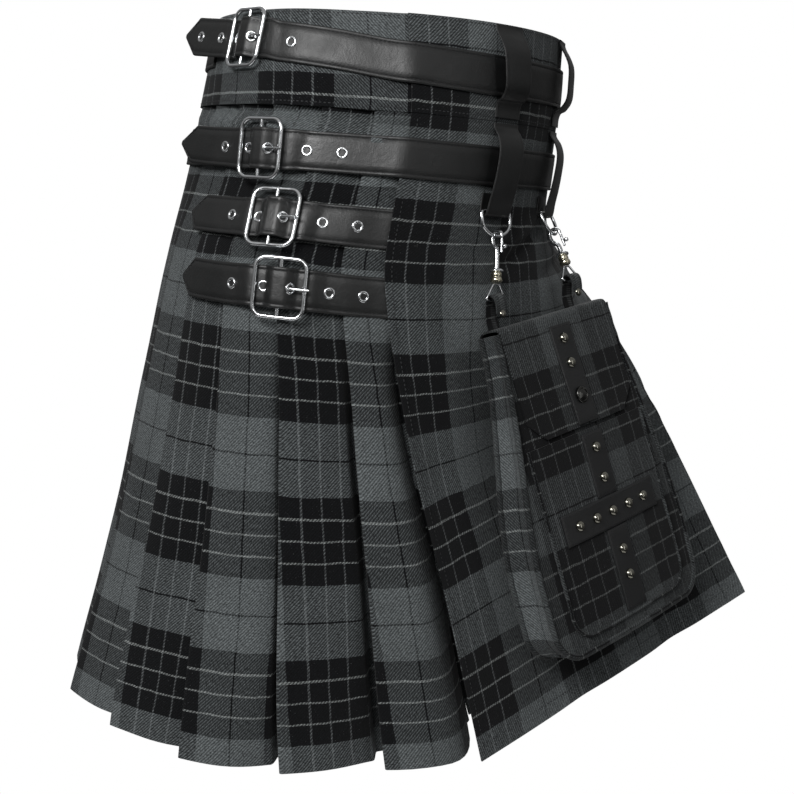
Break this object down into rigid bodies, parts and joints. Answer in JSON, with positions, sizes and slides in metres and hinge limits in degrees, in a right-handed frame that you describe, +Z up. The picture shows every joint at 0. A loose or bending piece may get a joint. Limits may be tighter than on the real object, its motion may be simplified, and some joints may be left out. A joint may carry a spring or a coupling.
{
  "type": "utility kilt",
  "caption": "Pleated tartan utility kilt in its worn open form, with leather straps, stand-off loops and a bellows pocket on snap hooks.",
  "frame": {"origin": "centre of the waist at mid-height of the waistband, where the wearer's hips hold it", "axes": "+Z up to the waist, -Y the wearer's front, -X the wearer's right"},
  "size_m": [0.5178, 0.598, 0.6041],
  "materials": {
    "tartan": "matte twill, black and grey tartan",
    "leather": "smooth black, semi-gloss",
    "chrome": "polished"
  },
  "bodies": {
    "root": {"apron_waistband": "tartan", "belt_lower": "leather", "belt_lower_buckle": "chrome", "belt_lower_chape": "leather", "belt_lower_prong": "chrome", "belt_upper": "leather", "belt_upper_buckle": "chrome", "belt_upper_chape": "leather", "belt_upper_prong": "chrome", "d_ring_left": "chrome", "d_ring_right": "chrome", "flap_snap": "chrome", "front_apron": "tartan", "hook_eye_left": "chrome", "hook_eye_right": "chrome", "hook_left": "chrome", "hook_right": "chrome", "loop_lower_left": "leather", "loop_lower_right": "leather", "loop_upper_left": "leather", "loop_upper_right": "leather", "pleats_back": "tartan", "pleats_left": "tartan", "pleats_right": "tartan", "pocket_back": "tartan", "pocket_flap": "tartan", "pocket_front": "tartan", "pocket_gusset": "tartan", "pocket_patch": "tartan", "pocket_tab_left": "tartan", "pocket_tab_right": "tartan", "strap_hip": "leather", "strap_hip_buckle": "chrome", "strap_hip_chape": "leather", "strap_hip_prong": "chrome", "strap_low": "leather", "strap_low_buckle": "chrome", "strap_low_chape": "leather", "strap_low_prong": "chrome", "strip_cross": "leather", "strip_cross_stud_1": "chrome", "strip_cross_stud_2": "chrome", "strip_cross_stud_3": "chrome", "strip_cross_stud_4": "chrome", "strip_cross_stud_5": "chrome", "strip_flap": "leather", "strip_flap_stud_1": "chrome", "strip_flap_stud_2": "chrome", "strip_lower": "leather", "strip_lower_stud_1": "chrome", "strip_lower_stud_2": "chrome", "strip_upper": "leather", "strip_upper_stud_1": "chrome", "strip_upper_stud_2": "chrome", "under_apron": "tartan", "under_waistband": "tartan", "waistband": "tartan"},
    "bolt_right": {"hook_bolt_right": "chrome"},
    "bolt_left": {"hook_bolt_left": "chrome"}
  },
  "joints": [
    {"name": "bolt_right_slide", "type": "slide", "parent": "root", "child": "bolt_right", "axis": [-0.217, -0.0617, -0.9742], "range_m": [0, 0.005], "stiffness_N_per_m": 250, "springref_m": -0.004},
    {"name": "bolt_left_slide", "type": "slide", "parent": "root", "child": "bolt_left", "axis": [-0.2874, -0.4242, -0.8588], "range_m": [0, 0.005], "stiffness_N_per_m": 250, "springref_m": -0.004}
  ]
}
